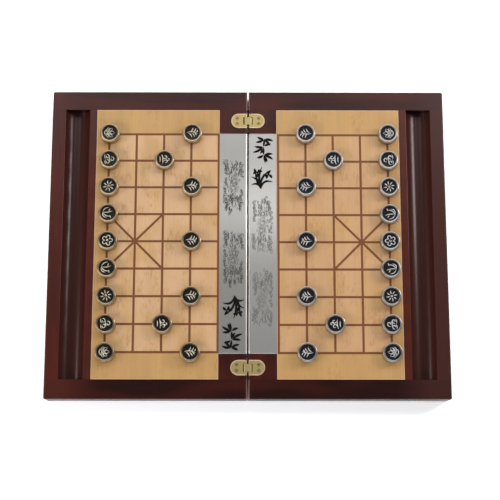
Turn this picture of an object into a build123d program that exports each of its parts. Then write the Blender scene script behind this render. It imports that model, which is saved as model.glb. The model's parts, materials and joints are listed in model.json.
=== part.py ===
from build123d import *
import os

# A folding xiangqi (Chinese chess) case, open flat, with its 32 men standing on the board.
#
# Two lacquered wooden halves lie side by side and fold along the Y axis. Each is a frame of four
# tenoned rails around a play panel and a bottom panel. The outer rail is scooped into a trough
# that stores the men, and the rail along the fold carries a metal river plate and two flush
# hinges. The left half is the right one turned half a turn about Z.
#
# Millimetres. +X runs across the fold, +Y to the far side, +Z up. The origin is the middle of the
# fold, on the surface that the case stands on.

# ---- the printed board -------------------------------------------------------------------------
cell = 32.2  # spacing of the grid lines, both ways
files = 9  # lines that cross the river
ranks = 5  # lines along the fold on each half
line_width = 2.6  # width of a printed line
river_width = 32.5  # strip between the fold and the play panel
outer_margin = 14.9  # bare panel beyond the back rank
end_margin = 30.5  # bare panel beyond the first and the last file

# ---- the case ----------------------------------------------------------------------------------
case_height = 27.0  # one half, from its bottom to its top face
fold_gap = 1.6  # between the halves, open
rail_width = 22.4  # near and far rails
inner_wall = 8.5  # wood between the play panel and the trough
trough_width = 28.4  # across the mouth of the trough
trough_depth = 12.5  # of the trough at its middle
outer_wall = 15.8  # wood outside the trough
edge_round = 1.5  # rounding of the top edges of the frame
corner_round = 2.0  # rounding of the four upright corners
lip_round = 0.8  # rounding of the mouth of the trough

# ---- panels ------------------------------------------------------------------------------------
panel_thickness = 4.0  # play panel
panel_drop = 0.4  # the play panel lies this far below the frame's top
ledge_width = 5.0  # ledge that the play panel rests on
ledge_height = 6.0
bottom_thickness = 3.0  # bottom panel, flush with the rails
rabbet = 6.0  # how far the bottom panel reaches into the rails
panel_fit = 0.15  # play between a panel's edge and the frame
batten_width = 18.0  # batten under the middle of the play panel

# ---- loose tenons that join the rails ----------------------------------------------------------
tenon_width = 18.0
tenon_thickness = 6.0
tenon_length = 30.0
tenon_height = 8.5  # of a tenon's middle above the bottom
tenon_inset = 14.3  # of a tenon's middle from the outer face of its long rail
tenon_fit = 0.1  # glue space around a tenon

# ---- river plate -------------------------------------------------------------------------------
plate_thickness = 0.9
plate_drop = 0.2  # the plate lies this far below the frame's top
plate_lip = 4.6  # depth of the lip that is turned down over the fold edge
plate_bend = 1.5  # outer radius of that bend
plate_fit = 0.1  # play between the plate and its recess

# ---- double-pivot flush hinges -----------------------------------------------------------------
hinge_inset = 13.4  # of a hinge's middle from the inner face of the near or far rail
leaf_straight = 10.15  # from the fold edge of a leaf to where its round end begins
leaf_width = 17.6
leaf_thickness = 2.2
pivot_reach = 2.75  # of a pivot from the middle of the fold
pivot_depth = 2.6  # of a pivot below the top face
link_radius = 2.55  # of the link's round ends
link_width = 9.0
link_play = 0.15  # between the link and its seat, all round
pin_diameter = 1.8
pin_fit = 0.04  # play of the link on its pins
boss_width = 14.0  # the leaf's deeper part, which holds the pin
boss_wall = 3.4  # of the boss beyond the seat
seat_floor = 1.3  # of the boss under the seat
leaf_fit = 0.1  # play between a leaf and its mortise
mortise_floor_gap = 0.3  # below the boss

# ---- hinge screws ------------------------------------------------------------------------------
screw_inset = 1.65  # of the screws beyond where the round end begins
screw_spacing = 6.6  # between the two screws of a leaf
screw_head_diameter = 4.5
screw_shank_diameter = 2.2
screw_length = 10.0
screw_fit = 0.05  # play around a screw

# ---- playing men -------------------------------------------------------------------------------
man_diameter = 23.3
man_height = 9.5
left_army_shift = (1.5, -0.2)  # the men stand this far, in X and Y, off their true points
right_army_shift = (0.9, -0.4)

# ---- worked out from the sizes above -----------------------------------------------------------
fold_face = fold_gap / 2
panel_x0 = fold_face + river_width
panel_width = line_width / 2 + (ranks - 1) * cell + outer_margin
panel_x1 = panel_x0 + panel_width
trough_x0 = panel_x1 + inner_wall
trough_x1 = trough_x0 + trough_width
case_x1 = trough_x1 + outer_wall
panel_length = (files - 1) * cell + 2 * end_margin
hinge_y = panel_length / 2 - hinge_inset
case_length = panel_length + 2 * rail_width
plate_length = (files - 1) * cell + line_width
first_rank_x = panel_x0 + line_width / 2
panel_top = case_height - panel_drop
seat_z = panel_top - panel_thickness
plate_top = case_height - plate_drop
trough_x = (trough_x0 + trough_x1) / 2
trough_radius = ((trough_width / 2) ** 2 + trough_depth**2) / (2 * trough_depth)
pivot_z = case_height - pivot_depth
round_x = fold_face + leaf_straight
seat_radius = link_radius + link_play
notch_width = link_width + 2 * link_play
boss_reach = pivot_reach + seat_radius + boss_wall
boss_depth = pivot_depth + seat_radius + seat_floor
pin_length = boss_width
tenon_xs = (fold_face + tenon_inset, case_x1 - tenon_inset)
ENDS = {"near": -1, "far": 1}
HALF_TURN = Rotation(0, 0, 180)

# The men of an army beside its general: their line from the back, and how many files from the
# middle one they stand, on both sides of it. The soldiers stand on every other file.
PAIRED_MEN = {
    "advisor": (1, 1),
    "elephant": (1, 2),
    "horse": (1, 3),
    "chariot": (1, 4),
    "cannon": (3, 3),
}
SOLDIER_LINE = 4

os.makedirs("parts", exist_ok=True)


def write(piece, name):
    """Label a finished piece and write it to a file of its own."""
    piece.part.label = name
    export_step(piece.part, f"parts/{name}.step")


def write_both(piece, name):
    """Write a piece of the right half, and the same piece turned half a turn for the left."""
    write(piece, f"right_{name}")
    with BuildPart() as turned:
        add(HALF_TURN * piece.part)
    swap = {"near": "far", "far": "near"}
    write(turned, "left_" + "_".join(swap.get(word, word) for word in name.split("_")))


def block(x, y, z, mode=Mode.ADD):
    """A box that spans the given (low, high) pairs, added or cut."""
    with Locations((sum(x) / 2, sum(y) / 2, sum(z) / 2)):
        Box(x[1] - x[0], y[1] - y[0], z[1] - z[0], mode=mode)


def rods(places, radius, length, mode=Mode.ADD):
    """Round rods along Y with their middles at the given places, added or cut."""
    with Locations([Location(place, (90, 0, 0)) for place in places]):
        Cylinder(radius, length, mode=mode)


def tenon_blocks(end, margin=0, mode=Mode.ADD):
    """The tenons at one end of the half, or with a margin their mortises."""
    width = tenon_width + 2 * margin
    with Locations([(x, end * panel_length / 2, tenon_height) for x in tenon_xs]):
        Box(width, tenon_length + 2 * margin, tenon_thickness + 2 * margin, mode=mode)


def cross_rail(end):
    """The near or far rail, with its rounded edges, ledge, rabbet and mortises."""
    inner = end * panel_length / 2
    outer = end * case_length / 2
    with BuildPart() as rail:
        block((fold_face, case_x1), sorted((inner, outer)), (0, case_height))
        uprights = rail.edges().filter_by(Axis.Z).group_by(Axis.X)[-1]
        fillet(uprights.sort_by(lambda edge: abs(edge.center().Y))[-1], corner_round)
        top_edges = rail.faces().sort_by(Axis.Z)[-1].edges()
        inner_edge = top_edges.sort_by(lambda edge: abs(edge.center().Y))[0]
        fillet([edge for edge in top_edges if edge != inner_edge], edge_round)
        ledge_x = (panel_x0 + ledge_width, panel_x1 - ledge_width)
        ledge_y = sorted((inner, inner - end * ledge_width))
        block(ledge_x, ledge_y, (seat_z - ledge_height, seat_z))
        rabbet_y = sorted((inner, inner + end * rabbet))
        block((panel_x0 - rabbet, panel_x1 + rabbet), rabbet_y, (0, bottom_thickness), Mode.SUBTRACT)
        tenon_blocks(end, tenon_fit, Mode.SUBTRACT)
    return rail


def long_rail_corners(outer_x, panel_x, side):
    """Section of a rail along the fold or the trough: rabbet and ledge on its panel side.

    side is 1 where the panel lies in +X of the rail, and -1 where it lies in -X of it.
    """
    return [
        (outer_x, 0),
        (panel_x - side * rabbet, 0),
        (panel_x - side * rabbet, bottom_thickness),
        (panel_x, bottom_thickness),
        (panel_x, seat_z - ledge_height),
        (panel_x + side * ledge_width, seat_z - ledge_height),
        (panel_x + side * ledge_width, seat_z),
        (panel_x, seat_z),
        (panel_x, case_height),
        (outer_x, case_height),
    ]


def trough_rail():
    """The outer rail, scooped lengthwise into a round-bottomed trough with softened lips."""
    with BuildPart() as rail:
        with BuildSketch(Plane.XZ) as section:
            with BuildLine():
                Polyline(*long_rail_corners(case_x1, panel_x1, -1), close=True)
            make_face()
            fillet(section.vertices().group_by(Axis.Y)[-1].sort_by(Axis.X)[-1], edge_round)
            with Locations((trough_x, case_height - trough_depth + trough_radius)):
                Circle(trough_radius, mode=Mode.SUBTRACT)
            top = section.vertices().group_by(Axis.Y)[-1]
            fillet(top.sort_by(lambda corner: abs(corner.X - trough_x))[:2], lip_round)
        extrude(amount=panel_length / 2, both=True)
        for end in ENDS.values():
            tenon_blocks(end, tenon_fit, Mode.SUBTRACT)
    return rail


def leaf_plan(y, margin=0):
    """Plan of the leaf at y, square at the fold and round at its other end, grown by a margin."""
    radius = leaf_width / 2 + margin
    with BuildSketch(Plane((0, y, case_height))) as plan:
        with BuildLine():
            square = Polyline((round_x, radius), (fold_face, radius), (fold_face, -radius),
                              (round_x, -radius))
            RadiusArc(square @ 1, square @ 0, -radius)
        make_face()
    return plan.sketch


def screw_places(y):
    """Places of the two screws of the leaf at y, on the top face."""
    x = round_x + screw_inset
    return [(x, y + side * screw_spacing / 2, case_height) for side in ENDS.values()]


def fold_rail():
    """The rail along the fold, recessed for the river plate and mortised for the hinges."""
    plate_y = plate_length / 2 + plate_fit
    lip_back = fold_face + plate_thickness
    recess_floor = plate_top - plate_thickness
    lip_foot = plate_top - plate_lip - plate_fit
    boss_y = boss_width / 2 + leaf_fit
    pocket_z = (case_height - boss_depth - mortise_floor_gap, case_height)
    with BuildPart() as rail:
        with BuildSketch(Plane.XZ) as section:
            with BuildLine():
                Polyline(*long_rail_corners(fold_face, panel_x0, 1), close=True)
            make_face()
            fillet(section.vertices().group_by(Axis.Y)[-1].sort_by(Axis.X)[0], edge_round)
        extrude(amount=panel_length / 2, both=True)

        # The plate's recess, and the step behind its turned-down lip.
        block((0, panel_x0), (-plate_y, plate_y), (recess_floor, case_height), Mode.SUBTRACT)
        block((0, lip_back), (-plate_y, plate_y), (lip_foot, recess_floor), Mode.SUBTRACT)

        # A mortise for each leaf, deeper under its boss, with two screw holes.
        for end in ENDS.values():
            y = end * hinge_y
            extrude(leaf_plan(y, leaf_fit), amount=-leaf_thickness, mode=Mode.SUBTRACT)
            block((0, boss_reach + leaf_fit), (y - boss_y, y + boss_y), pocket_z, Mode.SUBTRACT)
            with Locations(screw_places(y)):
                Hole(screw_shank_diameter / 2 + screw_fit, screw_length + mortise_floor_gap)
            tenon_blocks(end, tenon_fit, Mode.SUBTRACT)
    return rail


def bottom_panel():
    """The thin panel that closes the half from below, flush with the rails."""
    reach = rabbet - panel_fit
    y = panel_length / 2 + reach
    with BuildPart() as panel:
        block((panel_x0 - reach, panel_x1 + reach), (-y, y), (0, bottom_thickness))
    return panel


def play_panel():
    """The panel with the printed half board, resting on the ledges of the rails."""
    y = panel_length / 2 - panel_fit
    with BuildPart() as panel:
        block((panel_x0 + panel_fit, panel_x1 - panel_fit), (-y, y), (seat_z, panel_top))
    return panel


def batten():
    """The batten that keeps the middle of the play panel from sagging."""
    x = (panel_x0 + ledge_width, panel_x1 - ledge_width)
    with BuildPart() as bar:
        block(x, (-batten_width / 2, batten_width / 2), (bottom_thickness, seat_z))
    return bar


def river_plate():
    """The metal strip along the river, its fold edge bent down over the wood."""
    plate_x1 = panel_x0 - plate_fit
    lip_back = fold_face + plate_thickness
    underside = plate_top - plate_thickness
    with BuildPart() as plate:
        with BuildSketch(Plane.XZ) as section:
            with BuildLine():
                Polyline(
                    (plate_x1, plate_top),
                    (fold_face, plate_top),
                    (fold_face, plate_top - plate_lip),
                    (lip_back, plate_top - plate_lip),
                    (lip_back, underside),
                    (plate_x1, underside),
                    close=True,
                )
            make_face()
            fillet(section.vertices().group_by(Axis.Y)[-1].sort_by(Axis.X)[0], plate_bend)
        extrude(amount=plate_length / 2, both=True)
    return plate


def tenons():
    """The loose tenons of a half, one in each corner of its frame."""
    with BuildPart() as loose:
        for end in ENDS.values():
            tenon_blocks(end)
    return loose


def hinge_leaf(y):
    """A leaf: a flush plate with a round end, and a boss with the undercut seat of the link."""
    half_boss = boss_width / 2
    with BuildPart() as leaf:
        extrude(leaf_plan(y), amount=-leaf_thickness)
        boss_z = (case_height - boss_depth, case_height)
        block((fold_face, boss_reach), (y - half_boss, y + half_boss), boss_z)
        fillet(leaf.edges().filter_by(Axis.Y).group_by(Axis.Z)[-1].sort_by(Axis.X)[0], edge_round)

        # The seat is round about the pivot, open above for the link's swing and open to the fold.
        with BuildSketch(Plane.XZ.offset(-y)):
            with Locations((pivot_reach, pivot_z)):
                Circle(seat_radius)
                Rectangle(2 * seat_radius, case_height, align=(Align.CENTER, Align.MIN))
            with Locations((pivot_reach, pivot_z - seat_radius)):
                Rectangle(pivot_reach, case_height, align=(Align.MAX, Align.MIN))
        extrude(amount=notch_width / 2, both=True, mode=Mode.SUBTRACT)
        rods([(pivot_reach, y, pivot_z)], pin_diameter / 2, pin_length, Mode.SUBTRACT)
        with Locations(screw_places(y)):
            CounterSinkHole(
                screw_shank_diameter / 2 + screw_fit,
                screw_head_diameter / 2,
                leaf_thickness,
                90,
            )
    return leaf


def hinge_link(y):
    """The link: a flat-topped bar with a round knuckle about each pivot, bored for the pins."""
    with BuildPart() as link:
        with BuildSketch(Plane.XZ.offset(-y)):
            with Locations((0, pivot_z)):
                SlotCenterToCenter(2 * pivot_reach, 2 * link_radius)
            with Locations((-pivot_reach, pivot_z), (pivot_reach, pivot_z)):
                Circle(pin_diameter / 2 + pin_fit, mode=Mode.SUBTRACT)
        extrude(amount=link_width / 2, both=True)
    return link


def hinge_pins():
    """The pivot pins of a half, one in each leaf."""
    with BuildPart() as pins:
        places = [(pivot_reach, end * hinge_y, pivot_z) for end in ENDS.values()]
        rods(places, pin_diameter / 2, pin_length)
    return pins


def hinge_screws():
    """The countersunk screws of a half, two through each leaf."""
    head = screw_head_diameter / 2
    shank = screw_shank_diameter / 2
    with BuildPart() as screw:
        with BuildSketch(Plane.XZ):
            with BuildLine():
                Polyline(
                    (0, 0),
                    (head, 0),
                    (shank, shank - head),
                    (shank, -screw_length),
                    (0, -screw_length),
                    close=True,
                )
            make_face()
        revolve(axis=Axis.Z)
    with BuildPart() as screws:
        for end in ENDS.values():
            with Locations(screw_places(end * hinge_y)):
                add(screw.part)
    return screws


def man(x, y):
    """A playing man: a flat drum that stands on the play panel."""
    with BuildPart(Plane((x, y, panel_top))) as drum:
        Cylinder(man_diameter / 2, man_height, align=(Align.CENTER, Align.CENTER, Align.MIN))
    return drum


def write_army(army, side, shift):
    """Write the sixteen men of one army near their starting points; side is -1 left, 1 right."""

    def place(name, line, file):
        x = side * (first_rank_x + (ranks - line) * cell)
        write(man(x + shift[0], file * cell + shift[1]), f"{army}_{name}")

    place("general", 1, 0)
    for name, (line, file) in PAIRED_MEN.items():
        for end, sign in ENDS.items():
            place(f"{name}_{end}", line, sign * file)
    for number, file in enumerate(range(-(files // 2), files // 2 + 1, 2), start=1):
        place(f"soldier_{number}", SOLDIER_LINE, file)


for end, sign in ENDS.items():
    write_both(cross_rail(sign), f"{end}_rail")
    write_both(hinge_leaf(sign * hinge_y), f"hinge_leaf_{end}")
    write(hinge_link(sign * hinge_y), f"hinge_link_{end}")
write_both(trough_rail(), "trough_rail")
write_both(fold_rail(), "fold_rail")
write_both(bottom_panel(), "bottom_panel")
write_both(play_panel(), "play_panel")
write_both(batten(), "batten")
write_both(river_plate(), "river_plate")
write_both(tenons(), "tenons")
write_both(hinge_pins(), "hinge_pins")
write_both(hinge_screws(), "hinge_screws")
write_army("left", -1, left_army_shift)
write_army("right", 1, right_army_shift)
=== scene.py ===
"""Looks for a folding xiangqi (Chinese chess) case, laid out as a Blender add-on and run as a script.

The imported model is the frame: two lacquered halves side by side, hinged along the Y axis, with a
veneered play panel, a metal river plate and a storage trough each, and 32 men on the board.
+X runs across the fold, +Y to the far side and +Z up, in metres. Each operator dresses one piece
or group of like pieces. Sizes that the frame already has are read from it.
"""

import json
import math
import random

import bmesh
import bpy
from bpy.props import FloatProperty, FloatVectorProperty, IntProperty, PointerProperty
from bpy.types import Operator, Panel, PropertyGroup
from mathutils import Matrix, Vector


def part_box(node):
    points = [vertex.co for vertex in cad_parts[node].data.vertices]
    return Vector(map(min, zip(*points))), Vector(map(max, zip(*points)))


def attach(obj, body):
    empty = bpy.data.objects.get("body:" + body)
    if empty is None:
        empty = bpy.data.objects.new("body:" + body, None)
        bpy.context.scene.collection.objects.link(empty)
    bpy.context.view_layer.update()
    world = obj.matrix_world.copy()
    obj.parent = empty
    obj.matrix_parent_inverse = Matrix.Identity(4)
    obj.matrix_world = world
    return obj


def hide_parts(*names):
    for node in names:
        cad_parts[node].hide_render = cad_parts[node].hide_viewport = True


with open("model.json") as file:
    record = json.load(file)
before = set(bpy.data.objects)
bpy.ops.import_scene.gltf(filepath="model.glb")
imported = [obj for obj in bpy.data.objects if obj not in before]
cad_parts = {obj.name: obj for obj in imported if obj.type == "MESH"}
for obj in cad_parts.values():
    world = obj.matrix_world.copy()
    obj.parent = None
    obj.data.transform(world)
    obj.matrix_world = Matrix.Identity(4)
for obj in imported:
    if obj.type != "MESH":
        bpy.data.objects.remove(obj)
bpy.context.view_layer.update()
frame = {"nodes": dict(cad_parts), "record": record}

bl_info = {
    "name": "Folding xiangqi case",
    "version": (1, 0, 0),
    "blender": (4, 5, 0),
    "location": "View3D > Sidebar > Xiangqi",
    "description": "Dresses the frame of a folding xiangqi case, its hinges and its men",
    "category": "Add Mesh",
}

MM = 0.001
HALVES = {"left": -1, "right": 1}
ENDS = {"near": -1, "far": 1}
FOLD_ROUND = 1.5 * MM  # the rounding along the fold, which raised edges stop short of
FILES = 9  # printed lines that cross the river
RANKS = 5  # printed lines along the river on each half
PALACE_FILES = (3, 4)  # columns of squares that the diagonals cross
PALACE_RANKS = (2, 3)  # rows of squares, counted from the river
SCREW_STEPS = 32  # steps round a screw
SHARP_ANGLE = math.radians(32)  # edges that turn by more than this are drawn sharp
LEAF_TAPER = 0.75  # how a leaf thins towards its ends; 0 would be even
CURL_TAPER = 0.3  # how a curl does
GARDEN_HEIGHT = 2.82  # half the length of an etched field, in units of half its width


def linear(hex_colour):
    """An sRGB hex colour as the linear red, green, blue and alpha that a shader takes."""
    shares = [int(hex_colour[i : i + 2], 16) / 255 for i in (0, 2, 4)]
    return tuple(c / 12.92 if c <= 0.04045 else ((c + 0.055) / 1.055) ** 2.4 for c in shares) + (1.0,)


def colour_property(name, description, hex_colour):
    """A colour that a user can pick, with its default given as sRGB hex."""
    settings = {"size": 4, "min": 0.0, "max": 1.0, "subtype": "COLOR"}
    default = linear(hex_colour)
    return FloatVectorProperty(name=name, description=description, default=default, **settings)


def length_property(name, description, millimetres):
    """A length that a user can set."""
    default = millimetres * MM
    return FloatProperty(name=name, description=description, default=default, unit="LENGTH")


def place_property(name, description, default):
    """A place, or a shift on a surface, in metres."""
    settings = {"size": len(default), "subtype": "TRANSLATION", "unit": "LENGTH"}
    return FloatVectorProperty(name=name, description=description, default=default, **settings)


def power_property(name, description, default):
    """The power of a lamp, in watts."""
    return FloatProperty(name=name, description=description, default=default, unit="POWER")


# ---- what a user would change ----
class XiangqiFinishes(PropertyGroup):
    """Colours of the case, the board, the metal and the men."""

    lacquer: colour_property("Lacquer", "Stained mahogany of the long rails", "471F18")
    lacquer_ends: colour_property("Lacquer, cross rails", "The cross rails are stained darker", "33130F")
    # Painted shade: the near cross rails are given a darker colour than the far ones.
    lacquer_near_shade: colour_property("Lacquer, near rails", "The near cross rails are darkest", "260D0A")
    veneer: colour_property("Veneer", "Bare margin of the play panels", "BC955F")
    field: colour_property("Field", "Veneer between the printed lines on the left", "CDA87F")
    right_field: colour_property("Right field", "The same of the right panel", "C49C71")
    heart: colour_property("Heartwood", "Yellower patches of the veneer", "C0995F")
    fleck: colour_property("Fleck", "Small brown flecks of the veneer", "A5794A")
    print_ink: colour_property("Ink", "Printed lines", "62310F")
    aluminium: colour_property("Aluminium", "Brushed left river plate", "B1B0AC")
    aluminium_pale: colour_property("Aluminium, pale", "Brushed right river plate", "C1C0BD")
    etching: colour_property("Etching", "Darkened lines etched in the left plate", "4A4A47")
    etching_pale: colour_property("Etching, pale", "Fainter lines etched in the right plate", "72726F")
    paint: colour_property("Paint", "Brush paintings on the plates", "080808")
    brass: colour_property("Brass", "Hinges", "BEAB79")
    # Paler than the brass: a painted highlight on the rims' raised bead.
    brass_edge: colour_property("Brass edge", "Rubbed rims of the hinges", "DCC6A6")
    brass_screw: colour_property("Screw brass", "Hinge screws", "A9955A")
    champagne: colour_property("Champagne", "Men of the left army", "B39F80")
    champagne_mark: colour_property("Champagne marks", "Marks of the left army", "DFDAC6")
    silver: colour_property("Silver", "Men of the right army", "B4AFAA")
    silver_mark: colour_property("Silver marks", "Marks of the right army", "D7D9DB")
    enamel: colour_property("Enamel", "Faces of the men", "0F0F0E")


class XiangqiCase(PropertyGroup):
    """The wooden case."""

    trough_width: length_property("Trough", "Width of the mouth of a trough", 28.4)


class XiangqiBoard(PropertyGroup):
    """The printed board."""

    line_width: length_property("Line width", "Width of a printed line", 2.6)
    river_line: length_property(
        "River line", "From the edge of the play panel to the middle of the river's line", 1.15
    )
    ink_lift: length_property("Ink lift", "Ink above the varnish", 0.03)
    left_shift: place_property("Left shift", "How far the left print is off", (0.28 * MM, 0.49 * MM))
    right_shift: place_property("Right shift", "The same of the right", (0.83 * MM, -0.37 * MM))


class XiangqiPlates(PropertyGroup):
    """The river plates and what is etched and painted on them."""

    relief: length_property("Relief", "Height of the etched and painted strokes", 0.06)
    rim: length_property("Rolled rim", "Width of the rolled ends", 0.9)
    rim_height: length_property("Rim height", "Height of the rolled ends", 0.1)
    seed: IntProperty(name="Seed", description="Start of the random draws", default=7)


class XiangqiHinges(PropertyGroup):
    """The flush hinges and their countersunk screws."""

    bead: length_property("Bead", "Width of the bead round a leaf", 1.2)
    bead_height: length_property("Bead height", "Height of that bead", 0.08)
    spacing: length_property("Spacing", "Between the two screws of a leaf", 6.6)
    shank: length_property("Shank", "Diameter of the shank", 2.2)
    pitch: length_property("Pitch", "From one turn of the thread to the next", 0.8)
    slot_length: length_property("Recess", "Length of the cross recess", 2.5)
    slot_width: length_property("Recess width", "Width of its arms", 0.65)
    slot_depth: length_property("Recess depth", "Depth of the cross recess", 0.9)


class XiangqiMen(PropertyGroup):
    """The turned metal men."""

    rim: length_property("Rim", "Width of the rim around the face", 1.1)
    rounding: length_property("Rounding", "How far in the shoulder is rounded", 1.3)
    shoulder: length_property("Shoulder", "How far down it is rounded", 2.6)
    foot: length_property("Foot bevel", "Bevel at the foot", 0.5)
    foot_gap: length_property("Foot gap", "From the veneer to a man's underside", 0.02)
    sink: length_property("Sink", "Depth of the face below the rim", 0.55)
    stroke_height: length_property("Stroke height", "Height of the raised marks", 0.4)
    segments: IntProperty(name="Segments", description="Steps round a man", default=72, min=12)


class XiangqiStage(PropertyGroup):
    """Floor, lamps and camera."""

    floor_radius: length_property("Floor radius", "Radius of the floor", 6000)
    lens: FloatProperty(name="Lens", description="Focal length", default=85.28, unit="CAMERA")
    camera_place: place_property("Camera", "Where the camera stands", (-0.0021, -0.27905, 1.3702))
    camera_turn: FloatVectorProperty(
        name="Camera turn",
        description="Turns about X, then Y, then Z, of a camera that looks straight down",
        default=(math.radians(11.335), math.radians(-0.193), math.radians(0.079)),
        subtype="EULER",
        unit="ROTATION",
    )
    overhead: power_property("Overhead", "Power of the far overhead panels", 37.0)
    front: power_property("Front", "Power of the near overhead panels", 20.0)
    side: power_property("Side", "Power of the right strip", 8.0)
    fill: power_property("Fill", "Power of the left strip", 13.0)
    ambient: FloatProperty(name="Ambient", description="Strength of the surround", default=0.9)


# ---- materials ----
def new_finish(name, roughness, metallic=0.0, specular=0.5):
    """A material whose Principled shader has the values given."""
    finish = bpy.data.materials.new(name)
    finish.use_nodes = True
    shader = finish.node_tree.nodes["Principled BSDF"]
    shader.inputs["Roughness"].default_value = roughness
    shader.inputs["Metallic"].default_value = metallic
    shader.inputs["Specular IOR Level"].default_value = specular
    return finish, finish.node_tree, shader


def add_node(tree, kind, inputs=None, output=0, **settings):
    """Add a node, set or link its inputs, and return one of its output sockets."""
    node = tree.nodes.new("ShaderNode" + kind)
    for name, value in settings.items():
        setattr(node, name, value)
    for socket, value in (inputs or {}).items():
        if isinstance(value, bpy.types.NodeSocket):
            tree.links.new(value, node.inputs[socket])
        else:
            node.inputs[socket].default_value = value
    return node.outputs[output]


def combine(tree, operation, first, second):
    """Two numbers added, multiplied or the like."""
    return add_node(tree, "Math", {0: first, 1: second}, operation=operation)


def ramp(tree, value, start, stop, low=0.0, high=1.0, **settings):
    """Low until a number reaches start, high once it is past stop, and a slope in between."""
    inputs = {"Value": value, "From Min": start, "From Max": stop, "To Min": low, "To Max": high}
    return add_node(tree, "MapRange", inputs, **settings)


def mixed(tree, share, first, second):
    """A share of the way from one colour to another."""
    inputs = {"Factor": share, 6: first, 7: second}
    return add_node(tree, "Mix", inputs, output=2, data_type="RGBA")


def scaled(tree, colour, share):
    """A colour made lighter or darker."""
    if not isinstance(colour, bpy.types.NodeSocket):
        colour = colour[:3]
    return add_node(tree, "VectorMath", {0: colour, 3: share}, operation="SCALE")


def coordinate(tree, axis):
    """Where a point lies along an axis, in metres."""
    place = add_node(tree, "TexCoord", output="Object")
    return add_node(tree, "SeparateXYZ", {0: place}, output=axis)


def away(tree, value, middle=0.0):
    """How far a number is from a middle, on either side of it."""
    off = combine(tree, "SUBTRACT", value, middle)
    return add_node(tree, "Math", {0: off}, operation="ABSOLUTE")


def grain(tree, across, along, axis, detail=3.0):
    """Noise that is drawn out along one axis, from its two sizes in metres."""
    scale = [1 / across] * 3
    scale[axis] = 1 / along
    place = add_node(tree, "TexCoord", output="Object")
    drawn = add_node(tree, "Mapping", {"Vector": place, "Scale": scale})
    return add_node(tree, "TexNoise", {"Vector": drawn, "Scale": 1.0, "Detail": detail})


def emboss(tree, shader, strength, depth, height):
    """Let a surface look raised where a noise is high."""
    relief = add_node(tree, "Bump", {"Strength": strength, "Distance": depth, "Height": height})
    tree.links.new(relief, shader.inputs["Normal"])


def colour_with(tree, shader, tone):
    """Let a colour from the nodes be the colour of a surface."""
    tree.links.new(tone, shader.inputs["Base Color"])


def lacquered_mahogany(stain, name, axis, ends=(), painted_shades=()):
    # Mahogany, stained red-brown and sprayed with semi-gloss lacquer: a deep colour that is even
    # from afar, faint streaks along the grain, and a coat that mirrors the lamps softly.
    # ends lists other stains, and the pale painted highlight on the fold's rounded edges: how far out
    # from the fold each sets in and is whole, and its colour.
    # The last argument lists where shade is painted below a lip: an axis, the middle and half width of
    # the stretch on it, how soft its end is, the heights where it sets in and is whole, and its colour.
    finish, tree, shader = new_finish(name, roughness=0.5, specular=0.05)
    streak = grain(tree, 1.4 * MM, 45 * MM, axis)
    drift = grain(tree, 25 * MM, 110 * MM, axis, detail=1.0)
    figure = combine(tree, "ADD", streak, drift)
    tone = scaled(tree, stain, ramp(tree, figure, 0.75, 1.25, 0.8, 1.15))
    tone = mixed(tree, ramp(tree, drift, 0.45, 0.8, high=0.4), tone, linear("5C2013"))
    # Other stains, and the painted highlight on the fold's rounded edges.
    for start, whole, other_colour in ends:
        out = away(tree, coordinate(tree, 0))
        tone = mixed(tree, ramp(tree, out, start, whole), tone, other_colour)
    # Painted shade, below a lip.
    for shade_axis, middle, half_width, edge, lip, whole, other_colour in painted_shades:
        off = away(tree, away(tree, coordinate(tree, shade_axis)), middle)
        over = ramp(tree, off, half_width + edge, half_width)
        under = ramp(tree, coordinate(tree, 2), lip, whole)
        tone = mixed(tree, combine(tree, "MULTIPLY", over, under), tone, other_colour)
    colour_with(tree, shader, tone)
    shader.inputs["Coat Weight"].default_value = 0.52
    shader.inputs["Coat Roughness"].default_value = 0.26
    # Open pores are about 0.2 mm wide; they are drawn 0.6 mm wide, so that they show at all.
    emboss(tree, shader, 0.12, 0.05 * MM, grain(tree, 0.6 * MM, 6 * MM, axis))
    return finish


def printed_veneer(colours, name, box, field, tint):
    # Rotary-cut maple veneer under satin varnish, screen-printed with a warm tint between the
    # lines: fine lengthwise grain, small brown flecks, and a paler band round the edge, which is a
    # painted highlight of its rounded rim.
    finish, tree, shader = new_finish(name, roughness=0.42)

    def inside(centre, half, edge):
        """1 inside a rectangle and 0 outside it, with a soft edge."""
        shares = []
        for axis in (0, 1):
            off = away(tree, coordinate(tree, axis), centre[axis])
            shares.append(ramp(tree, off, half[axis], half[axis] - edge))
        return combine(tree, "MULTIPLY", *shares)

    ground = mixed(tree, inside(*field, 0.3 * MM), colours.veneer, tint)
    streak = grain(tree, 0.9 * MM, 60 * MM, axis=1, detail=4.0)
    drift = grain(tree, 14 * MM, 90 * MM, axis=1, detail=2.0)
    figure = combine(tree, "ADD", streak, drift)
    hue = grain(tree, 22 * MM, 34 * MM, axis=1, detail=1.0)
    ground = mixed(tree, ramp(tree, hue, 0.44, 0.66, high=0.6), ground, colours.heart)
    tone = scaled(tree, ground, ramp(tree, figure, 0.7, 1.3, 0.93, 1.07))
    spots = grain(tree, 1.7 * MM, 6.5 * MM, axis=1)
    cluster = grain(tree, 16 * MM, 22 * MM, axis=1, detail=2.0)
    nearly = combine(tree, "ADD", spots, ramp(tree, cluster, 0.47, 0.68, high=0.18))
    tone = mixed(tree, ramp(tree, nearly, 0.61, 0.92, high=0.7), tone, colours.fleck)
    # A painted highlight: the veneer is paler within about 1.2 mm of its edge.
    painted_light = combine(tree, "SUBTRACT", 1.0, inside(*box, 1.2 * MM))
    tone = mixed(tree, painted_light, tone, linear("E3BE97"))
    colour_with(tree, shader, tone)
    emboss(tree, shader, 0.1, 0.04 * MM, streak)
    return finish


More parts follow.
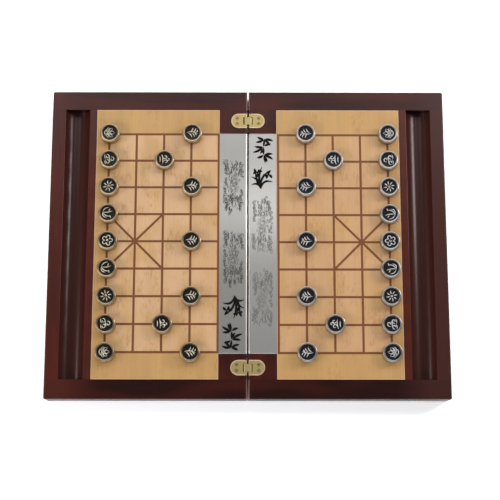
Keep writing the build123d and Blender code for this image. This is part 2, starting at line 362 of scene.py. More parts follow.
def screen_ink(colours):
    # Screen-printing ink on varnished veneer: flat brown with a slight grain where it sank in.
    finish, tree, shader = new_finish("screen_printed_ink", roughness=0.5)
    speck = grain(tree, 0.8 * MM, 5 * MM, axis=1)
    colour_with(tree, shader, mixed(tree, speck, colours.print_ink, linear("7D4A1F")))
    return finish


def sawn_wood(name, light, dark, axis):
    # Sawn, unfinished timber: dull, with plain growth streaks and a fuzzy cut.
    finish, tree, shader = new_finish(name, roughness=0.85)
    streak = grain(tree, 2.2 * MM, 60 * MM, axis)
    colour_with(tree, shader, mixed(tree, streak, linear(dark), linear(light)))
    emboss(tree, shader, 0.4, 0.1 * MM, streak)
    return finish


def brushed_metal(name, colour, roughness, axis, across=0.5 * MM, along=40 * MM, painted_light=()):
    # Metal sheet, brushed along one direction, with fine lines. Bright bands are painted highlights, and
    # dark recesses painted shade.
    # Grit lines are about 0.05 mm wide and are drawn ten times coarser, so that they show.
    # The last argument lists stretches painted brighter as highlights, or darker as shade in recesses:
    # an axis, the middle of the stretch on it, how far from there it is whole and where it ends, and how
    # many times brighter the metal is.
    finish, tree, shader = new_finish(name, roughness, metallic=1.0)
    line = grain(tree, across, along, axis, detail=2.0)
    tone = scaled(tree, colour, ramp(tree, line, 0.0, 1.0, 0.94, 1.06))
    # Painted highlights and painted shade, laid into the colour.
    for light_axis, middle, whole, end, gain in painted_light:
        off = away(tree, coordinate(tree, light_axis), middle)
        painted_light_mark = ramp(tree, off, end, whole, 1.0, gain, interpolation_type="SMOOTHSTEP")
        tone = scaled(tree, tone, painted_light_mark)
    colour_with(tree, shader, tone)
    emboss(tree, shader, 0.075, 0.01 * MM, line)
    return finish


def plated_zinc(name, colour):
    # Zinc alloy, die-cast, turned and satin plated: bright, with slight clouding from handling.
    finish, tree, shader = new_finish(name, roughness=0.3, metallic=1.0)
    cloud = grain(tree, 3 * MM, 3 * MM, axis=2, detail=2.0)
    colour_with(tree, shader, scaled(tree, colour, ramp(tree, cloud, 0.3, 0.7, 0.9, 1.02)))
    tree.links.new(ramp(tree, cloud, 0.0, 1.0, 0.22, 0.4), shader.inputs["Roughness"])
    return finish


def blasted_zinc(name, colour):
    # The raised marks are blasted with fine grit and plated: pale and almost as even as paint.
    finish, tree, shader = new_finish(name, roughness=0.55, metallic=1.0)
    grit = grain(tree, 0.7 * MM, 0.7 * MM, axis=2, detail=2.0)
    colour_with(tree, shader, scaled(tree, colour, ramp(tree, grit, 0.0, 1.0, 0.85, 1.05)))
    return finish


def etched_sheet(name, colour):
    # Aluminium that acid has bitten: matt, grey and slightly uneven.
    finish, tree, shader = new_finish(name, roughness=0.75, metallic=0.4)
    bite = grain(tree, 0.8 * MM, 1.6 * MM, axis=1)
    colour_with(tree, shader, scaled(tree, colour, ramp(tree, bite, 0.0, 1.0, 0.8, 1.15)))
    return finish


def black_enamel(colours):
    # Stoved black enamel in the sunk face: glossy, with the dimples of the cast floor below.
    finish, tree, shader = new_finish("black_enamel", roughness=0.3, specular=0.2)
    dimple = grain(tree, 1.3 * MM, 1.3 * MM, axis=2, detail=2.0)
    colour_with(tree, shader, mixed(tree, dimple, colours.enamel, linear("23211E")))
    emboss(tree, shader, 0.1, 0.2 * MM, dimple)
    return finish


def screen_paint(colours):
    # Black screen paint on bare metal: matt and dense, with slightly paler specks.
    finish, tree, shader = new_finish("black_paint", roughness=0.55, specular=0.08)
    speck = grain(tree, 1.0 * MM, 2.0 * MM, axis=1)
    colour_with(tree, shader, mixed(tree, speck, colours.paint, linear("131312")))
    return finish


def white_backdrop():
    # Matt white paper, brightly lit by itself: it shows as white to the camera, in metal and
    # through gaps, and still takes the shadow of the case. Far from the case, out of reach of the
    # lamps, it glows white.
    finish, tree, shader = new_finish("white_paper", roughness=0.9, specular=0.0)
    seen = 0.0
    for ray in ("Is Camera Ray", "Is Glossy Ray", "Is Transmission Ray"):
        seen = combine(tree, "MAXIMUM", seen, add_node(tree, "LightPath", output=ray))
    # Where it is seen it is a little blue, against the warm light of the two strips.
    plain, bright = (0.8, 0.8, 0.8, 1.0), (1.66, 1.72, 1.75, 1.0)
    colour_with(tree, shader, mixed(tree, seen, plain, bright))
    place = add_node(tree, "TexCoord", output="Object")
    reach = add_node(tree, "VectorMath", {0: place}, output="Value", operation="LENGTH")
    glow = combine(tree, "MULTIPLY", ramp(tree, reach, 0.5, 1.1), seen)
    tree.links.new(glow, shader.inputs["Emission Strength"])
    shader.inputs["Emission Color"].default_value = (1.0, 1.0, 1.0, 1.0)
    return finish


# ---- meshes ----
def coat(node, finish):
    """Give a node of the frame its finish."""
    frame["nodes"][node].material_slots[0].material = finish


def centre_of(node):
    """Middle of a node's box on its top, and the height of its foot."""
    low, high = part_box(node)
    return Vector(((low.x + high.x) / 2, (low.y + high.y) / 2, high.z)), low.z


def finish_piece(name, build, finishes, body, replaced=()):
    """Turn a built mesh into a piece that rides on a body."""
    bmesh.ops.recalc_face_normals(build, faces=build.faces)
    mesh = bpy.data.meshes.new(name)
    build.to_mesh(mesh)
    build.free()
    for finish in finishes:
        mesh.materials.append(finish)
    mesh.shade_smooth()
    mesh.set_sharp_from_angle(angle=SHARP_ANGLE)
    piece = bpy.data.objects.new(name, mesh)
    bpy.context.scene.collection.objects.link(piece)
    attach(piece, body)
    if replaced:
        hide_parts(*replaced)


def add_ring(build, centre, radius, height, steps):
    """Points on a level circle round a centre. One step gives a single point."""
    ring = []
    for k in range(steps):
        angle = math.tau * k / steps
        place = (centre.x + radius * math.cos(angle), centre.y + radius * math.sin(angle), height)
        ring.append(build.verts.new(place))
    return ring


def add_skin(build, lower, upper, finish):
    """Faces between two rings of points, either of which may be a single point."""
    count = max(len(lower), len(upper))
    for k in range(count):
        after = (k + 1) % count
        corners = [lower[k % len(lower)], lower[after % len(lower)]]
        corners += [upper[after % len(upper)], upper[k % len(upper)]]
        build.faces.new(dict.fromkeys(corners)).material_index = finish


def turn(build, centre, profile, steps, finish):
    """Turn (radius, height) points about an upright axis. The profile runs outwards and up."""
    rings = []
    for radius, height in profile:
        rings.append(add_ring(build, centre, radius, height, steps if radius > 0 else 1))
    for lower, upper in zip(rings, rings[1:]):
        add_skin(build, lower, upper, finish)


def leaf(x, y, angle, length, sag=0.0, width=0.17):
    """A brush stroke from a point at an angle in degrees, bowed sideways by sag of its length."""
    ahead = Vector((math.cos(math.radians(angle)), math.sin(math.radians(angle))))
    aside = Vector((-ahead.y, ahead.x))
    path = []
    for k in range(9):
        t = k / 8
        path.append(Vector((x, y)) + ahead * (length * t) + aside * (sag * length * 4 * t * (1 - t)))
    return path, width, LEAF_TAPER


def curl(x, y, radius, start, sweep, width=0.12, end_radius=None):
    """A stroke round a point, from a start angle through a sweep in degrees."""
    end_radius = radius if end_radius is None else end_radius
    steps = max(6, int(abs(sweep) / 20))
    path = []
    for k in range(steps + 1):
        t = k / steps
        angle = math.radians(start + sweep * t)
        reach = radius + (end_radius - radius) * t
        path.append(Vector((x + reach * math.cos(angle), y + reach * math.sin(angle))))
    return path, width, CURL_TAPER


def add_strokes(build, strokes, centre, unit, turned, height, finish=0, weight=1.0):
    """Raise strokes, given in units about a centre, from the face at the centre's height."""
    # Across a stroke: shares of its width, and of its height. The feet sink into the face.
    section = ((-0.5, -0.25), (-0.34, 0.7), (0.0, 1.0), (0.34, 0.7), (0.5, -0.25))
    for path, width, taper in strokes:
        spots = [Matrix.Rotation(turned, 2) @ spot * unit for spot in path]
        rows = []
        for k, spot in enumerate(spots):
            ahead = spots[min(k + 1, len(spots) - 1)] - spots[max(k - 1, 0)]
            aside = Vector((-ahead.y, ahead.x)).normalized()
            swell = max(0.12, math.sin(math.pi * (k + 0.3) / (len(spots) - 0.4)) ** taper)
            row = []
            for share, lift in section:
                point = spot + aside * (share * swell * width * weight * unit)
                place = (centre.x + point.x, centre.y + point.y, centre.z + lift * height)
                row.append(build.verts.new(place))
            rows.append(row)
        for before, after in zip(rows, rows[1:]):
            add_skin(build, before, after, finish)
        for row in (rows[0], rows[-1]):
            build.faces.new(row).material_index = finish


def add_ridge(build, path, width, base, height):
    """Raise one stroke of even width along a path."""
    add_strokes(build, [(path, width, 0.0)], Vector((0, 0, base)), 1.0, 0.0, height)


def inset(corners, distance):
    """Move every side of an outline that runs anticlockwise inwards by a distance."""
    moved = []
    for k, corner in enumerate(corners):
        before = (corner - corners[k - 1]).normalized()
        after = (corners[(k + 1) % len(corners)] - corner).normalized()
        first = Vector((-before.y, before.x))
        second = Vector((-after.y, after.x))
        moved.append(corner + (first + second) * (distance / (1 + first.dot(second))))
    return moved


# ---- the marks: traditional brush motifs, drawn in units of their half width ----
def plum_blossom():
    yield curl(0.0, 0.0, 0.16, 0, 330, 0.14)
    for k in range(5):
        angle = 90 + 72 * k
        way = math.radians(angle)
        yield curl(0.62 * math.cos(way), 0.62 * math.sin(way), 0.3, angle + 215, 290, 0.16)


def orchid():
    for angle, length, sag in ((128, 1.4, 0.2), (98, 1.75, -0.08), (64, 1.6, -0.2), (38, 1.2, -0.3)):
        yield leaf(-0.15, -0.9, angle, length, sag)
    yield leaf(-0.35, 0.15, 150, 0.5, 0.0, 0.2)
    yield leaf(0.45, 0.35, 20, 0.45, 0.0, 0.2)


def chrysanthemum():
    yield curl(0.0, 0.0, 0.14, 0, 340, 0.14)
    for k in range(8):
        angle = 45 * k + 10
        way = math.radians(angle)
        yield leaf(0.36 * math.cos(way), 0.36 * math.sin(way), angle, 0.62, 0.1, 0.2)


def waves():
    for x, y, size in ((-0.5, -0.35, 0.42), (0.5, -0.3, 0.42), (0.0, 0.5, 0.45)):
        yield curl(x, y, size, 200, -330, 0.16, size * 0.3)
        yield leaf(x - size * 1.1, y - 0.38, 8, size * 2.2, -0.14, 0.14)


def lotus():
    yield curl(0.0, -0.25, 0.68, 218, 104, 0.15)
    for angle, length in ((90, 1.4), (52, 1.25), (128, 1.25), (17, 1.0), (163, 1.0)):
        for bow in (0.22, -0.22):
            yield leaf(0.0, -0.5, angle, length, bow, 0.13)


def clouds():
    for x, y, size, sweep in ((-0.45, 0.15, 0.42, 320), (0.45, 0.25, 0.38, -320), (0.0, 0.68, 0.3, 300)):
        yield curl(x, y, size, 270, sweep, 0.16, size * 0.35)
    yield leaf(-0.9, -0.48, 5, 1.8, 0.08, 0.18)
    yield leaf(-0.55, -0.85, 2, 1.1, 0.06)


def pine():
    yield leaf(-0.05, -1.0, 84, 1.95, 0.12, 0.18)
    for y, reach in ((-0.7, 1.0), (-0.12, 0.85), (0.42, 0.5)):
        yield leaf(0.06, y, 38, reach, 0.14, 0.19)
        yield leaf(-0.1, y + 0.26, 146, reach, -0.14, 0.19)


MARKS = {
    "general": plum_blossom,
    "advisor": orchid,
    "elephant": chrysanthemum,
    "horse": waves,
    "chariot": lotus,
    "cannon": clouds,
    "soldier": pine,
}


def bamboo_spray():
    for x, y, angle in ((0.26, -1.1, 100), (0.1, -0.36, 91), (0.1, 0.4, 82)):
        yield leaf(x, y, angle, 0.7, 0.0, 0.15)
    for x, y, angle, length in (
        (0.16, -0.4, 8, 0.75), (0.14, -0.44, -24, 0.85), (0.1, -0.5, -58, 0.6),
        (0.08, -0.4, 204, 0.6), (0.06, 0.36, 176, 0.75), (0.02, 0.3, 208, 0.95),
        (0.08, 0.24, 240, 0.55), (0.18, 0.42, 20, 0.62), (0.2, 1.04, -12, 0.75),
        (0.18, 0.98, -46, 0.7), (0.12, 1.06, 160, 0.6), (0.1, 1.0, 198, 0.7),
    ):
        yield leaf(x, y, angle, length, 0.08)


def orchid_spray():
    blades = ((156, 0.92, -0.3), (128, 1.4, -0.18), (106, 1.7, 0.08))
    blades += ((88, 2.0, 0.1), (64, 1.85, 0.18), (32, 1.2, 0.32))
    for angle, length, sag in blades:
        yield leaf(-0.12, -0.98, angle, length, sag, 0.15)
    petals = ((12, 0.46, 0.15), (66, 0.34, -0.2), (122, 0.46, 0.15), (198, 0.38, -0.15))
    petals += ((264, 0.42, 0.2),)
    for x, y, turned in ((-0.46, 0.5, 0), (0.52, 0.3, 50)):
        for angle, length, sag in petals:
            yield leaf(x, y, angle + turned, length, sag)


def cloud_bank(draw, x, y, reach):
    """A few curls that roll round each other, with trailing wisps."""
    for k in range(5):
        way = draw.choice((-1, 1))
        size = reach * draw.uniform(0.35, 0.6)
        spot_x = x + draw.uniform(-0.5, 0.5) * reach
        spot_y = y + (k - 2) * reach * 0.55
        yield curl(spot_x, spot_y, size, draw.uniform(0, 360), way * 400, 0.055, size * 0.25)
        yield leaf(spot_x - reach * 0.5, spot_y - size, draw.uniform(-20, 20), reach, 0.2 * way, 0.05)


def garden(draw):
    """Peonies among reeds between two rows of clouds, in a field 2 units wide."""
    for x, y, reach in (
        (-0.68, 0.72, 0.27), (-0.66, 0.5, 0.27), (-0.7, 0.28, 0.25), (-0.76, -0.38, 0.27),
        (-0.72, -0.6, 0.27), (0.3, 0.86, 0.24), (0.66, 0.7, 0.26), (0.76, 0.46, 0.24),
        (0.72, 0.2, 0.26), (0.7, -0.1, 0.24), (0.66, -0.46, 0.27), (0.72, -0.7, 0.26),
    ):
        yield from cloud_bank(draw, x, y * GARDEN_HEIGHT, reach)
    for middle_x, middle_y, size in ((0.0, 0.1, 0.42), (-0.1, -0.14, 0.36), (0.05, 0.4, 0.36)):
        for ring in (0.2, 0.45, 0.7, 0.95):
            for k in range(7):
                angle = 360 / 7 * k + 90 * ring
                way = math.radians(angle)
                x = middle_x + math.cos(way) * size * ring
                y = middle_y * GARDEN_HEIGHT + math.sin(way) * size * ring
                yield curl(x, y, size * 0.24, angle + draw.uniform(-110, -50), 150, 0.045)
    for _ in range(70):
        x = draw.uniform(-0.5, 0.6)
        y = draw.uniform(-0.85, 0.8) * GARDEN_HEIGHT
        lean = 90 + draw.uniform(-40, 40)
        yield leaf(x, y, lean, draw.uniform(0.15, 0.35), draw.uniform(-0.3, 0.3), 0.045)
    for foot, rise in ((0.3, 1), (-0.2, -1)):
        for _ in range(38):
            x = draw.uniform(-0.6, 0.6)
            y = foot * GARDEN_HEIGHT + rise * draw.uniform(0.0, 1.3)
            lean = rise * (90 - (x + draw.uniform(-0.3, 0.3)) * 34)
            yield leaf(x, y, lean, draw.uniform(0.3, 0.6), draw.uniform(-0.3, 0.3), 0.055)


def in_field(stroke):
    """Whether a stroke of the garden stays inside its field."""
    return all(abs(spot.x) < 1.0 and abs(spot.y) < GARDEN_HEIGHT for spot in stroke[0])


# Middles of the paintings and etched fields from a plate's middle, as shares of its length.
PAINTINGS = ((0.42, bamboo_spray), (0.292, orchid_spray))
GARDENS = (0.07, -0.26)


# ---- operators ----
class XIANGQI_OT_case(Operator):
    """Give the rails, panels, battens and tenons of both halves their woods"""

    bl_idname = "xiangqi.case"
    bl_label = "Wooden case"

    def execute(self, context):
        colours = context.scene.xiangqi_finishes
        case = context.scene.xiangqi_case
        low, high = frame["record"]["physics"]["openings"][1]["box_m"]
        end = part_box("right_trough_rail")[1]
        middle, half_width = (low[0] + high[0]) / 2, case.trough_width / 2
        # The lacquer is painted pale on the rounded edges of the fold, as a painted highlight.
        painted_light_mark = (2.3 * MM, 1.5 * MM, linear("7C5A53"))
        # The corners were stained in one pass with the long rails and match them.
        corners = {"left": colours.lacquer, "right": linear("3A1F1C")}
        # The near cross rails are painted darkest, as painted shade. Each gives way to its corner's
        # stain.
        cross_rails = {
            "near": (colours.lacquer_near_shade, 0.84 * middle, 1.04 * middle),
            "far": (colours.lacquer_ends, 0.97 * middle, 1.12 * middle),
        }
        # On the right the outer rail took the stain darker than the inner one.
        inner_lip, outer_lip = middle - half_width, middle + half_width
        inner = (inner_lip, inner_lip - 1.5 * MM, linear("4E2117"))
        outer = (outer_lip, outer_lip + 1.5 * MM, linear("3E211D"))
        long_rails = {"left": (), "right": (inner, outer)}
        # The trough is painted darker below its lip, and its end walls near black below their top:
        # painted shade.
        trough_shade = (0, middle, half_width, 0.5 * MM, end.z, end.z - 3 * MM, linear("3B1C17"))
        wall = end.y + 0.3 * MM
        end_wall_shade = (1, 0.0, wall, 0.2 * MM, end.z - 0.2 * MM, end.z - 1.0 * MM, linear("140706"))
        for half in HALVES:
            mahogany = f"lacquered_mahogany_{half}"
            trough = f"{mahogany}_trough"
            plywood = f"lacquered_plywood_{half}"
            edges = long_rails[half]
            woods = {
                "trough_rail": lacquered_mahogany(colours.lacquer, trough, 1, edges, (trough_shade,)),
                "fold_rail": lacquered_mahogany(colours.lacquer_ends, f"{mahogany}_fold", 1),
                "bottom_panel": lacquered_mahogany(colours.lacquer_ends, plywood, 1),
                "batten": sawn_wood(f"sawn_pine_{half}", "D9BD8C", "B98F5C", axis=0),
                "tenons": sawn_wood(f"sawn_beech_{half}", "D3AE83", "AF8459", axis=1),
            }
            for side, (stain, start, whole) in cross_rails.items():
                ends = ((start, whole, corners[half]), painted_light_mark)
                rail = lacquered_mahogany(stain, f"{mahogany}_{side}", 0, ends, (end_wall_shade,))
                woods[f"{side}_rail"] = rail
            for part, wood in woods.items():
                coat(f"{half}_{part}", wood)
        return {"FINISHED"}


def square(a, b):
    """Corners of an upright rectangle, anticlockwise."""
    low = Vector((min(a.x, b.x), min(a.y, b.y)))
    high = Vector((max(a.x, b.x), max(a.y, b.y)))
    return [low, Vector((high.x, low.y)), high, Vector((low.x, high.y))]


def openings(start, end, rank, file):
    """The bare squares of one cell: one square, or two triangles beside a palace diagonal."""
    corners = square(start, end)
    if rank not in PALACE_RANKS or file not in PALACE_FILES:
        return [corners]
    rising = (rank - PALACE_RANKS[0] + file - PALACE_FILES[0]) % 2 == 0
    if end.x < start.x:
        rising = not rising
    if not rising:
        corners = corners[1:] + corners[:1]
    return [corners[:3], [corners[0], corners[2], corners[3]]]


def outline(build, corners, height):
    """Add a closed outline of edges."""
    verts = [build.verts.new((corner.x, corner.y, height)) for corner in corners]
    for k, vert in enumerate(verts):
        build.edges.new((verts[k - 1], vert))


class XIANGQI_OT_board(Operator):
    """Veneer the play panels and print the lines on them"""

    bl_idname = "xiangqi.board"
    bl_label = "Printed board"

    def execute(self, context):
        board = context.scene.xiangqi_board
        colours = context.scene.xiangqi_finishes
        ink = screen_ink(colours)
        near, _ = centre_of("right_chariot_near")
        far, _ = centre_of("right_chariot_far")
        cell = (far.y - near.y) / (FILES - 1)
        prints = {
            "left": (Vector(board.left_shift), colours.field),
            "right": (Vector(board.right_shift), colours.right_field),
        }
        for half, way in HALVES.items():
            shift, tint = prints[half]
            low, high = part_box(f"{half}_play_panel")
            river = way * (min(abs(low.x), abs(high.x)) + board.river_line)
            middle = Vector((river + way * (RANKS - 1) * cell / 2, 0)) + shift
            reach = Vector(((RANKS - 1) * cell, (FILES - 1) * cell)) / 2
            reach += Vector((board.line_width, board.line_width)) / 2
            name = f"printed_maple_veneer_{half}"
            box = (((low + high) / 2)[:2], ((high - low) / 2)[:2])
            veneer = printed_veneer(colours, name, box, (middle[:2], reach[:2]), tint)
            coat(f"{half}_play_panel", veneer)
            build = bmesh.new()
            foot = high.z - board.ink_lift
            outline(build, square(middle - reach, middle + reach), foot)
            for rank in range(RANKS - 1):
                for file in range(FILES - 1):
                    start = Vector((river + way * rank * cell, (file - (FILES - 1) / 2) * cell)) + shift
                    end = start + Vector((way * cell, cell))
                    for opening in openings(start, end, rank, file):
                        outline(build, inset(opening, board.line_width / 2), foot)
            bmesh.ops.triangle_fill(build, edges=build.edges, use_dissolve=False, normal=(0, 0, 1))
            raised = bmesh.ops.extrude_face_region(build, geom=build.faces[:])
            for vert in raised["geom"]:
                if isinstance(vert, bmesh.types.BMVert):
                    vert.co.z += board.ink_lift * 2
            finish_piece(f"{half}_printed_lines", build, [ink], f"{half}_half")
        return {"FINISHED"}


class XIANGQI_OT_plates(Operator):
    """Brush the river plates, roll their ends, and etch and paint them"""

    bl_idname = "xiangqi.plates"
    bl_label = "River plates"

    def execute(self, context):
        plates = context.scene.xiangqi_plates
        colours = context.scene.xiangqi_finishes
        draw = random.Random(plates.seed)
        # Both plates are painted brighter a little beyond the middle and along the fold: painted
        # highlights.
        painted_light_mark = (1, 36 * MM, 0.0, 75 * MM, 1.45)
        # Each plate: its colour, its etching's colour, and a painted highlight along the fold.
        sheets = {
            "left": (colours.aluminium, colours.etching, (0, 0.0, 2.3 * MM, 3.5 * MM, 1.5)),
            "right": (colours.aluminium_pale, colours.etching_pale, (0, 0.0, 1.5 * MM, 2.3 * MM, 1.25)),
        }
        rolled = brushed_metal("burnished_aluminium_edge", linear("C4C1BC"), 0.38, axis=0)
        paint = screen_paint(colours)
        for half, way in HALVES.items():
            colour, bitten, fold_highlight = sheets[half]
            sheet = brushed_metal(f"brushed_aluminium_{half}", colour, 0.42, 1, painted_light=(painted_light_mark, fold_highlight))
            etched = etched_sheet(f"etched_aluminium_{half}", bitten)
            node = f"{half}_river_plate"
            low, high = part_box(node)
            coat(node, sheet)
            middle = Vector(((low.x + high.x) / 2, 0.0, high.z))
            width, length = high.x - low.x, high.y - low.y
            fold = (low.x if way > 0 else high.x) + way * FOLD_ROUND
            river = high.x if way > 0 else low.x
            turned = 0.0 if half == "right" else math.pi
            unit = width * 0.4

            rims = bmesh.new()
            for end in ENDS.values():
                y = end * (length - plates.rim) / 2
                path = [Vector((fold + (river - fold) * k / 8, y)) for k in range(9)]
                add_ridge(rims, path, plates.rim, high.z, plates.rim_height)
            etching = bmesh.new()
            for place in GARDENS:
                centre = middle + Vector((0, way * place * length, 0))
                strokes = filter(in_field, garden(draw))
                add_strokes(etching, strokes, centre, unit, turned, plates.relief)
            painting = bmesh.new()
            for place, spray in PAINTINGS:
                centre = middle + Vector((0, way * place * length, 0))
                add_strokes(painting, spray(), centre, unit * 1.03, turned, plates.relief, weight=1.5)
            work = {"rims": (rims, rolled), "etching": (etching, etched), "painting": (painting, paint)}
            for name, (build, finish) in work.items():
                piece = f"{half}_plate_{name}"
                finish_piece(piece, build, [finish], f"{half}_half")
        return {"FINISHED"}


def leaf_rim(build, node, way, sizes):
    """A raised bead along the straight sides and the round end of a leaf."""
    low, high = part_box(node)
    round_end = (high.y - low.y) / 2
    radius = round_end - sizes.bead / 2
    middle_x = high.x - round_end if way > 0 else low.x + round_end
    middle = Vector((middle_x, (low.y + high.y) / 2))
    fold = (low.x if way > 0 else high.x) + way * FOLD_ROUND
    path = [Vector((fold, middle.y - radius))]
    for k in range(17):
        angle = math.pi * (k / 16 - 0.5)
        path.append(middle + Vector((way * math.cos(angle), math.sin(angle))) * radius)
    path.append(Vector((fold, middle.y + radius)))
    add_ridge(build, path, sizes.bead, high.z, sizes.bead_height)


def make_screws(half, sizes, finish):
    """The four countersunk screws of one half, with cross recesses."""
    node = f"{half}_hinge_screws"
    low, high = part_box(node)
    head = (high.x - low.x) / 2
    shank = sizes.shank / 2
    neck = high.z - head
    outer = high.y - head
    # The point, the thread, and the cone up to the head.
    profile = [(0.0, low.z), (shank * 0.7, low.z + 1.2 * MM)]
    thread = low.z + 1.6 * MM
    while thread < neck - sizes.pitch:
        profile += [(shank * 0.78, thread), (shank, thread + sizes.pitch / 2)]
        thread += sizes.pitch
    profile += [(shank, neck + 0.3 * MM), (head * 0.96, high.z - 0.15 * MM), (head, high.z)]
    build = bmesh.new()
    for k, y in enumerate((-outer, sizes.spacing - outer, outer - sizes.spacing, outer)):
        centre = Vector(((low.x + high.x) / 2, y, high.z))
        turn(build, centre, profile, SCREW_STEPS, 0)
        recessed_face(build, centre, head, sizes, math.radians(25 + 40 * k))
    bmesh.ops.remove_doubles(build, verts=build.verts, dist=0.002 * MM)
    finish_piece(f"{half}_screws", build, [finish], f"{half}_half", [node])


def recessed_face(build, centre, head, sizes, turned):
    """The flat face of a screw with its cross recess, which narrows downwards."""
    arm, half = sizes.slot_length / 2, sizes.slot_width / 2
    cross = []
    for quarter in range(4):
        spin = Matrix.Rotation(math.pi / 2 * quarter + turned, 2)
        cross += [spin @ Vector(point) for point in ((arm, -half), (arm, half), (half, half))]
    levels = []
    for reach, depth in ((1.0, 0.0), (0.72, sizes.slot_depth)):
        level = []
        for spot in cross:
            place = (centre.x + spot.x * reach, centre.y + spot.y * reach, centre.z - depth)
            level.append(build.verts.new(place))
        levels.append(level)
    mouth, bottom = levels
    add_skin(build, mouth, bottom, 0)
    build.faces.new(bottom)
    rim = add_ring(build, centre, head, centre.z, SCREW_STEPS)
    edges = [build.edges.new((rim[k - 1], vert)) for k, vert in enumerate(rim)]
    edges += [build.edges.get((mouth[k - 1], vert)) for k, vert in enumerate(mouth)]
    bmesh.ops.triangle_fill(build, edges=edges, normal=(0, 0, 1))


class XIANGQI_OT_hinges(Operator):
    """Finish the hinges in satin brass and give them their screws"""

    bl_idname = "xiangqi.hinges"
    bl_label = "Hinges and screws"

    def execute(self, context):
        colours = context.scene.xiangqi_finishes
        sizes = context.scene.xiangqi_hinges
        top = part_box("hinge_link_near")[1].z
        # The brass is painted dark from 0.9 mm below its top, as painted shade in the slots and grooves.
        recess_shade = (2, top - 10 * MM, 9.1 * MM, 9.75 * MM, 0.2)
        brass = brushed_metal("satin_brass", colours.brass, 0.52, 0, 0.8 * MM, 12 * MM, painted_light=(recess_shade,))
        # The rims' paler brass is a painted highlight on their raised bead, which also catches the lamps
        # itself.
        painted_light_mark = brushed_metal("brass_edge_painted_highlight", colours.brass_edge, 0.5, 0, 0.8 * MM, 8 * MM)
        screw_brass = brushed_metal("screw_brass", colours.brass_screw, 0.5, axis=0, along=6 * MM)
        steel = brushed_metal("ground_steel", linear("B9B9B6"), 0.3, axis=1, along=10 * MM)
        for end in ENDS:
            coat(f"hinge_link_{end}", brass)
        for half, way in HALVES.items():
            coat(f"{half}_hinge_pins", steel)
            build = bmesh.new()
            for end in ENDS:
                node = f"{half}_hinge_leaf_{end}"
                coat(node, brass)
                leaf_rim(build, node, way, sizes)
            finish_piece(f"{half}_hinge_rims", build, [painted_light_mark], f"{half}_half")
            make_screws(half, sizes, screw_brass)
        return {"FINISHED"}


def make_man(node, men, rank, finishes, turned):
    """One man: a turned drum, its sunk face and the mark of its rank."""
    low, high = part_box(node)
    top, foot = centre_of(node)
    # A hair above the veneer, so that the man's underside and the veneer share no plane.
    foot += men.foot_gap
    radius = (high.x - low.x) / 2
    face = radius - men.rounding - men.rim
    floor = top.z - men.sink
    shoulder = []
    for degrees in (18, 36, 54, 72, 90):
        angle = math.radians(degrees)
        inwards = men.rounding * (1 - math.cos(angle))
        shoulder.append((radius - inwards, top.z - men.shoulder * (1 - math.sin(angle))))
    drum = [
        (0.0, foot),
        (radius - men.foot, foot),
        (radius - men.foot * 0.3, foot + men.foot * 0.3),
        (radius, foot + men.foot),
        (radius, top.z - men.shoulder),
        *shoulder,
        (face + 0.5 * MM, top.z),
        (face, top.z - 0.12 * MM),
        (face - 0.1 * MM, floor + 0.05 * MM),
        (face - 0.3 * MM, floor),
    ]
    build = bmesh.new()
    turn(build, top, drum, men.segments, 0)
    dish = [(face - 0.3 * MM, floor), (face * 0.6, floor - 0.02 * MM), (0.0, floor - 0.04 * MM)]
    turn(build, top, dish, men.segments, 1)
    bmesh.ops.remove_doubles(build, verts=build.verts, dist=0.001 * MM)
    floor_centre = Vector((top.x, top.y, floor))
    add_strokes(build, MARKS[rank](), floor_centre, face * 0.7, turned, men.stroke_height, 2)
    finish_piece(f"{node}_man", build, finishes, node, [node])


class XIANGQI_OT_men(Operator):
    """Turn the 32 men, enamel their faces and raise a mark on each"""

    bl_idname = "xiangqi.men"
    bl_label = "Men"

    def execute(self, context):
        men = context.scene.xiangqi_men
        colours = context.scene.xiangqi_finishes
        enamel = black_enamel(colours)
        # The marks stand upright for the player of each army.
        armies = (
            ("left", "champagne", colours.champagne, colours.champagne_mark, -math.pi / 2),
            ("right", "silver", colours.silver, colours.silver_mark, math.pi / 2),
        )
        for half, metal, plating, mark, turned in armies:
            plated = plated_zinc(f"{metal}_plated_zinc", plating)
            finishes = (plated, enamel, blasted_zinc(f"blasted_{metal}_marks", mark))
            for node in sorted(frame["nodes"]):
                rank = node.removeprefix(f"{half}_").split("_")[0]
                if node.startswith(half) and rank in MARKS:
                    make_man(node, men, rank, finishes, turned)
        return {"FINISHED"}


def hang_panel(name, place, size, power, tint=(1.0, 1.0, 1.0)):
    """A rectangular soft lamp that faces the middle of the case."""
    lamp = bpy.data.lights.new(name, "AREA")
    lamp.shape = "RECTANGLE"
    lamp.size, lamp.size_y = size
    lamp.energy = power
    lamp.color = tint
    holder = bpy.data.objects.new(name, lamp)
    holder.location = place
    holder.rotation_euler = (-Vector(place)).to_track_quat("-Z", "Y").to_euler()
    holder.visible_camera = False
    bpy.context.scene.collection.objects.link(holder)


def light_surround(context, stage):
    """White near the horizon and darker overhead, as in a studio with a dark ceiling."""
    world = bpy.data.worlds.new("studio")
    context.scene.world = world
    world.use_nodes = True
    tree = world.node_tree
    way = add_node(tree, "TexCoord", output="Generated")
    rise = add_node(tree, "SeparateXYZ", {0: way}, output="Z")
    light = combine(tree, "MULTIPLY", ramp(tree, rise, 0.25, 0.6, 1.0, 0.07), stage.ambient)
    seen = add_node(tree, "LightPath", output="Is Camera Ray")
    background = tree.nodes["Background"]
    background.inputs["Color"].default_value = (1.0, 1.0, 1.0, 1.0)
    tree.links.new(combine(tree, "MAXIMUM", light, seen), background.inputs["Strength"])


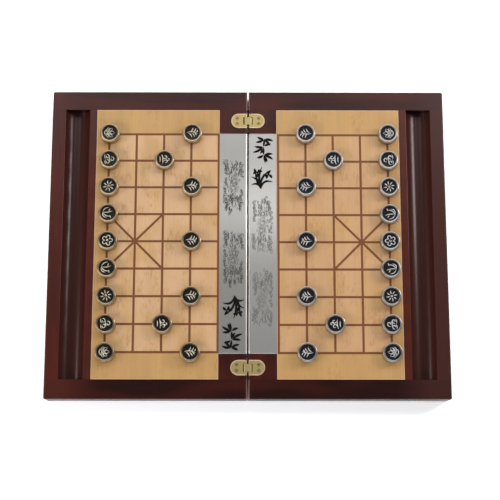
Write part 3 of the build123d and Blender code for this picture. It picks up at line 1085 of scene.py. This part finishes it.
class XIANGQI_OT_stage(Operator):
    """Lay the white floor, hang the lamps and set the camera"""

    bl_idname = "xiangqi.stage"
    bl_label = "Floor, lamps and camera"

    def execute(self, context):
        stage = context.scene.xiangqi_stage
        context.scene.view_settings.view_transform = "Standard"
        build = bmesh.new()
        bmesh.ops.create_circle(build, cap_ends=True, segments=96, radius=stage.floor_radius)
        mesh = bpy.data.meshes.new("floor")
        build.to_mesh(mesh)
        build.free()
        mesh.materials.append(white_backdrop())
        floor = bpy.data.objects.new("floor", mesh)
        context.scene.collection.objects.link(floor)
        light_surround(context, stage)
        for half, way in HALVES.items():
            hang_panel(f"{half}_overhead_panel", (way * 0.73, 1.7, 2.03), (1.3, 1.9), stage.overhead / 2)
            hang_panel(f"{half}_front_panel", (way * 0.73, -2.0, 1.7), (1.3, 1.2), stage.front / 2)
        hang_panel("right_strip", (1.1, 0.41, 0.69), (0.36, 0.44), stage.side, (1.0, 0.92, 0.92))
        hang_panel("left_strip", (-1.5, -0.45, 1.1), (0.9, 0.42), stage.fill, (1.0, 0.92, 0.92))
        camera_data = bpy.data.cameras.new("camera")
        camera_data.lens = stage.lens
        camera = bpy.data.objects.new("camera", camera_data)
        camera.rotation_mode = "ZYX"
        camera.location = stage.camera_place
        camera.rotation_euler = stage.camera_turn
        context.scene.collection.objects.link(camera)
        context.scene.camera = camera
        return {"FINISHED"}


class XIANGQI_PT_panel(Panel):
    """Lists the operators in the order in which they dress the case."""

    bl_label = "Folding xiangqi case"
    bl_idname = "XIANGQI_PT_panel"
    bl_space_type = "VIEW_3D"
    bl_region_type = "UI"
    bl_category = "Xiangqi"

    def draw(self, context):
        for operator in OPERATORS:
            self.layout.operator(operator.bl_idname)


GROUPS = {
    "xiangqi_finishes": XiangqiFinishes,
    "xiangqi_case": XiangqiCase,
    "xiangqi_board": XiangqiBoard,
    "xiangqi_plates": XiangqiPlates,
    "xiangqi_hinges": XiangqiHinges,
    "xiangqi_men": XiangqiMen,
    "xiangqi_stage": XiangqiStage,
}
OPERATORS = (
    XIANGQI_OT_case,
    XIANGQI_OT_board,
    XIANGQI_OT_plates,
    XIANGQI_OT_hinges,
    XIANGQI_OT_men,
    XIANGQI_OT_stage,
)


def register():
    for group in GROUPS.values():
        bpy.utils.register_class(group)
    for name, group in GROUPS.items():
        setattr(bpy.types.Scene, name, PointerProperty(type=group))
    for operator in OPERATORS:
        bpy.utils.register_class(operator)
    bpy.utils.register_class(XIANGQI_PT_panel)


def unregister():
    bpy.utils.unregister_class(XIANGQI_PT_panel)
    for operator in reversed(OPERATORS):
        bpy.utils.unregister_class(operator)
    for name in GROUPS:
        delattr(bpy.types.Scene, name)
    for group in reversed(list(GROUPS.values())):
        bpy.utils.unregister_class(group)


def main():
    register()
    bpy.ops.xiangqi.case()
    bpy.ops.xiangqi.board()
    bpy.ops.xiangqi.plates()
    bpy.ops.xiangqi.hinges()
    bpy.ops.xiangqi.men()
    bpy.ops.xiangqi.stage()


if __name__ == "__main__":
    main()
